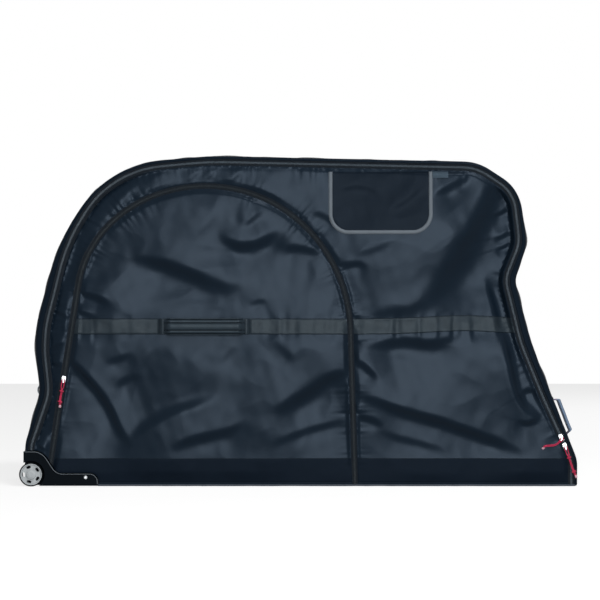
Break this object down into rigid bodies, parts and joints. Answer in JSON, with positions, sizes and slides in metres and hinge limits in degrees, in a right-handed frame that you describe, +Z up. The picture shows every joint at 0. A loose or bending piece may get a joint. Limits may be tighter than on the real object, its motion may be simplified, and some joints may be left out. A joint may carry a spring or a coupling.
{
  "type": "bike travel bag",
  "caption": "Soft padded bike travel bag with a wheel pocket, long zips, webbing carry handles and rollers in moulded brackets at one lower end.",
  "frame": {"origin": "on the ground under the middle of the bag's bounding box", "axes": "+Z up, +X from the wheels to the end that is lifted, the front with its wheel pocket faces -Y"},
  "size_m": [1.3508, 0.308, 0.7994],
  "materials": {
    "shell_fabric": "padded woven polyester, matt",
    "base_fabric": "coated woven polyester, matt",
    "lining": "thin padded lining",
    "zip_tape": "woven tape",
    "zip_teeth": "coil teeth, satin",
    "webbing": "ribbed webbing",
    "dark_webbing": "ribbed webbing",
    "reflective_piping": "satin, reflective",
    "base_piping": "woven piping",
    "moulding": "fine moulded grain",
    "hub_plastic": "silver, satin",
    "rubber": "matt",
    "chrome": "polished",
    "pull_cord": "braided cord",
    "foam": "dense foam under cloth",
    "board": "stiff board",
    "tab_fabric": "woven tape",
    "tow_fabric": "woven tape over padding"
  },
  "bodies": {
    "bag_body": {"gusset_left": "shell_fabric", "gusset_top": "shell_fabric", "gusset_right": "shell_fabric", "back_panel": "shell_fabric", "base_panel": "base_fabric", "base_board": "board", "base_pad": "foam", "base_piping_front": "base_piping", "base_piping_back": "base_piping", "front_corner_panel": "base_fabric", "main_zip_outer_teeth": "zip_teeth", "main_zip_outer_tape": "zip_tape", "wheel_bracket_front": "moulding", "wheel_bracket_back": "moulding", "bracket_rivet_front": "chrome", "bracket_rivet_back": "chrome", "wheel_axle_front": "hub_plastic", "wheel_axle_back": "hub_plastic", "back_webbing": "webbing", "back_wheel_sleeve": "lining", "ring_tab": "dark_webbing", "side_loop": "dark_webbing", "tow_handle_strip": "dark_webbing", "frame_strap_left": "webbing", "frame_strap_right": "webbing", "frame_buckle_left": "moulding", "frame_buckle_right": "moulding"},
    "front_panel": {"front_panel": "shell_fabric", "front_panel_band": "base_fabric", "front_panel_webbing": "webbing", "main_zip_inner_teeth": "zip_teeth", "main_zip_inner_tape": "zip_tape", "arch_zip_outer_teeth": "zip_teeth", "arch_zip_outer_tape": "zip_tape", "name_patch": "shell_fabric", "name_patch_piping": "reflective_piping", "hang_tab": "tab_fabric", "front_wheel_pocket": "lining"},
    "front_flap": {"front_flap": "shell_fabric", "front_flap_band": "base_fabric", "front_flap_webbing": "webbing", "arch_zip_inner_teeth": "zip_teeth", "arch_zip_inner_tape": "zip_tape"},
    "wheel_front": {"wheel_hub_front": "hub_plastic", "wheel_tyre_front": "rubber"},
    "wheel_back": {"wheel_hub_back": "hub_plastic", "wheel_tyre_back": "rubber"},
    "carry_handle_front": {"carry_handle_front": "webbing"},
    "carry_handle_back": {"carry_handle_back": "webbing"},
    "arch_slider": {"arch_slider": "chrome"},
    "arch_pull": {"arch_pull": "pull_cord"},
    "upper_slider": {"upper_slider": "chrome"},
    "upper_pull": {"upper_pull": "pull_cord"},
    "lower_slider": {"lower_slider": "chrome"},
    "lower_pull": {"lower_pull": "pull_cord"},
    "d_ring": {"d_ring": "chrome"},
    "tow_handle": {"tow_handle": "tow_fabric"}
  },
  "joints": [
    {"name": "front_panel_hinge", "type": "hinge", "parent": "bag_body", "child": "front_panel", "pos_m": [0, -0.13, 0.0053], "axis": [1, 0, 0], "range_deg": [0, 84]},
    {"name": "front_flap_hinge", "type": "hinge", "parent": "front_panel", "child": "front_flap", "pos_m": [0, -0.13, 0.0053], "axis": [1, 0, 0], "range_deg": [0, 70]},
    {"name": "wheel_front_spin", "type": "hinge", "parent": "bag_body", "child": "wheel_front", "pos_m": [-0.6464, -0.13, 0.029], "axis": [0, 1, 0], "continuous": true},
    {"name": "wheel_back_spin", "type": "hinge", "parent": "bag_body", "child": "wheel_back", "pos_m": [-0.6464, 0.13, 0.029], "axis": [0, 1, 0], "continuous": true},
    {"name": "carry_handle_front_swing", "type": "hinge", "parent": "front_flap", "child": "carry_handle_front", "pos_m": [-0.2266, -0.1375, 0.387], "axis": [1, 0, 0], "range_deg": [-25, 25]},
    {"name": "carry_handle_back_swing", "type": "hinge", "parent": "bag_body", "child": "carry_handle_back", "pos_m": [-0.2266, 0.1375, 0.387], "axis": [1, 0, 0], "range_deg": [-25, 25]},
    {"name": "d_ring_turn", "type": "hinge", "parent": "bag_body", "child": "d_ring", "pos_m": [-0.63426, 0, 0.22834], "axis": [-0.07, 0, -0.9975], "range_deg": [-60, 60]},
    {"name": "tow_handle_swing", "type": "hinge", "parent": "bag_body", "child": "tow_handle", "pos_m": [0.64602, 0, 0.1607], "axis": [0.3603, 0, -0.9328], "range_deg": [-25, 25]},
    {"name": "arch_slider_run", "type": "slide", "parent": "front_flap", "child": "arch_slider", "axis": [0.1551, 0, 0.9879], "range_m": [-0.12, 0.15]},
    {"name": "arch_pull_lift", "type": "hinge", "parent": "arch_slider", "child": "arch_pull", "pos_m": [-0.56775, -0.1324, 0.259], "axis": [-0.9879, 0, 0.1551], "range_deg": [0, 150]},
    {"name": "upper_slider_run", "type": "slide", "parent": "front_panel", "child": "upper_slider", "axis": [-0.3958, 0, 0.9183], "range_m": [0, 0.15]},
    {"name": "upper_pull_lift", "type": "hinge", "parent": "upper_slider", "child": "upper_pull", "pos_m": [0.63609, -0.1324, 0.1186], "axis": [-0.9183, 0, -0.3958], "range_deg": [0, 100]},
    {"name": "lower_slider_run", "type": "slide", "parent": "front_panel", "child": "lower_slider", "axis": [-0.3958, 0, 0.9183], "range_m": [-0.012, 0.006]},
    {"name": "lower_pull_lift", "type": "hinge", "parent": "lower_slider", "child": "lower_pull", "pos_m": [0.64527, -0.1324, 0.0973], "axis": [-0.9183, 0, -0.3958], "range_deg": [0, 150]}
  ]
}
